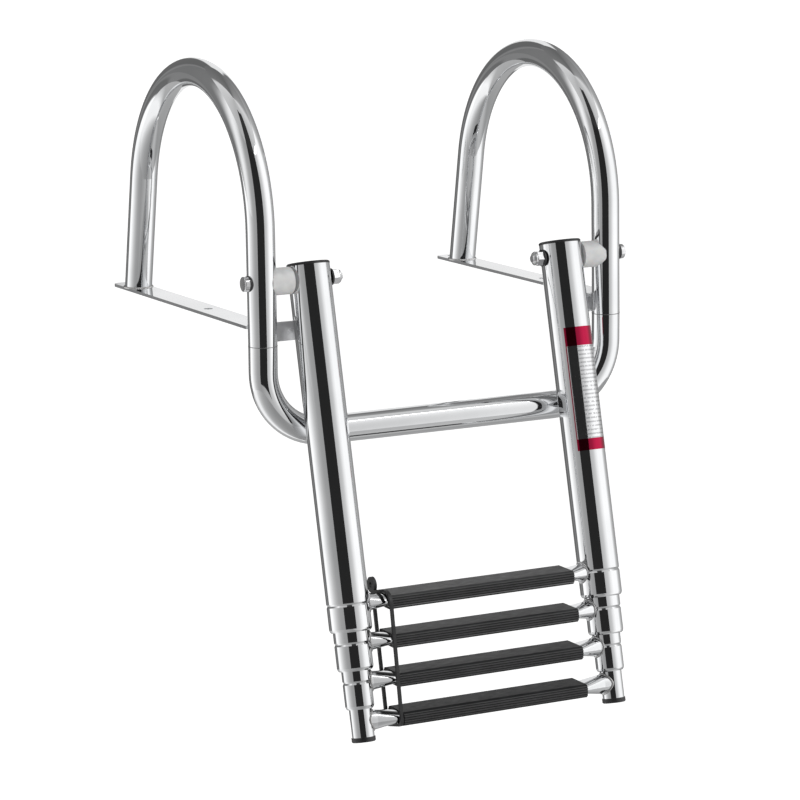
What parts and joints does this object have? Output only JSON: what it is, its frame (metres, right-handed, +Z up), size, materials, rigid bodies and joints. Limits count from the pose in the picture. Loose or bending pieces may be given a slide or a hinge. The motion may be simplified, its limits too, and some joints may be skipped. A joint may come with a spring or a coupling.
{
  "type": "boat boarding ladder",
  "caption": "Telescopic boarding ladder for a boat's swim platform, with looped handrails, ribbed treads and a stand-off tube.",
  "frame": {"origin": "centre of the four mounting holes, on the underside of the mounting plates", "axes": "+X along the steps to the right as seen from the water, +Y aft over the platform, +Z up"},
  "size_m": [0.4028, 0.4366, 0.6174],
  "materials": {
    "polished_steel": "mirror-polished stainless steel tube",
    "fastener_steel": "bright stainless steel fasteners",
    "black_rubber": "satin black ribbed rubber",
    "black_plastic": "satin black moulded plastic",
    "white_nylon": "natural white nylon",
    "bush_nylon": "dark self-lubricating nylon",
    "label_film": "clear film over polished steel, red bands and grey rows, no lettering"
  },
  "bodies": {
    "rail_frame": {"handrail_left": "polished_steel", "handrail_right": "polished_steel", "stand_off_tube": "polished_steel", "joining_spigot_left": "polished_steel", "joining_spigot_right": "polished_steel", "mounting_plate_left": "polished_steel", "mounting_plate_right": "polished_steel", "edge_tab_left": "polished_steel", "edge_tab_right": "polished_steel", "pivot_bolt_left": "fastener_steel", "pivot_bolt_right": "fastener_steel", "head_washers": "fastener_steel", "saddle_washers": "black_plastic", "pivot_spacer_left": "white_nylon", "pivot_spacer_right": "white_nylon", "nut_washers": "black_plastic", "lock_nut_left": "fastener_steel", "lock_nut_right": "fastener_steel", "lock_nut_inserts": "white_nylon"},
    "ladder_section_1": {"ladder_tube_1_left": "polished_steel", "ladder_tube_1_right": "polished_steel", "step_tube_1": "polished_steel", "tread_1": "black_rubber", "top_plug_left": "black_plastic", "top_plug_right": "black_plastic", "lower_bushes_1": "bush_nylon", "stowing_strap": "black_rubber", "safety_label": "label_film"},
    "ladder_section_2": {"ladder_tube_2_left": "polished_steel", "ladder_tube_2_right": "polished_steel", "step_tube_2": "polished_steel", "tread_2": "black_rubber", "upper_bushes_2": "bush_nylon", "lower_bushes_2": "bush_nylon"},
    "ladder_section_3": {"ladder_tube_3_left": "polished_steel", "ladder_tube_3_right": "polished_steel", "step_tube_3": "polished_steel", "tread_3": "black_rubber", "upper_bushes_3": "bush_nylon", "lower_bushes_3": "bush_nylon"},
    "ladder_section_4": {"ladder_tube_4_left": "polished_steel", "ladder_tube_4_right": "polished_steel", "step_tube_4": "polished_steel", "tread_4": "black_rubber", "upper_bushes_4": "bush_nylon", "end_cap_left": "black_plastic", "end_cap_right": "black_plastic"}
  },
  "joints": [
    {"name": "ladder_swing", "type": "hinge", "parent": "rail_frame", "child": "ladder_section_1", "pos_m": [0, -0.219, 0.043], "axis": [-1, 0, 0], "range_deg": [0, 257]},
    {"name": "slide_2", "type": "slide", "parent": "ladder_section_1", "child": "ladder_section_2", "axis": [0, -0.2235, -0.9747], "range_m": [0, 0.25], "deforming": ["stowing_strap"]},
    {"name": "slide_3", "type": "slide", "parent": "ladder_section_2", "child": "ladder_section_3", "axis": [0, -0.2235, -0.9747], "range_m": [0, 0.25], "deforming": ["stowing_strap"]},
    {"name": "slide_4", "type": "slide", "parent": "ladder_section_3", "child": "ladder_section_4", "axis": [0, -0.2235, -0.9747], "range_m": [0, 0.25], "deforming": ["stowing_strap"]}
  ]
}
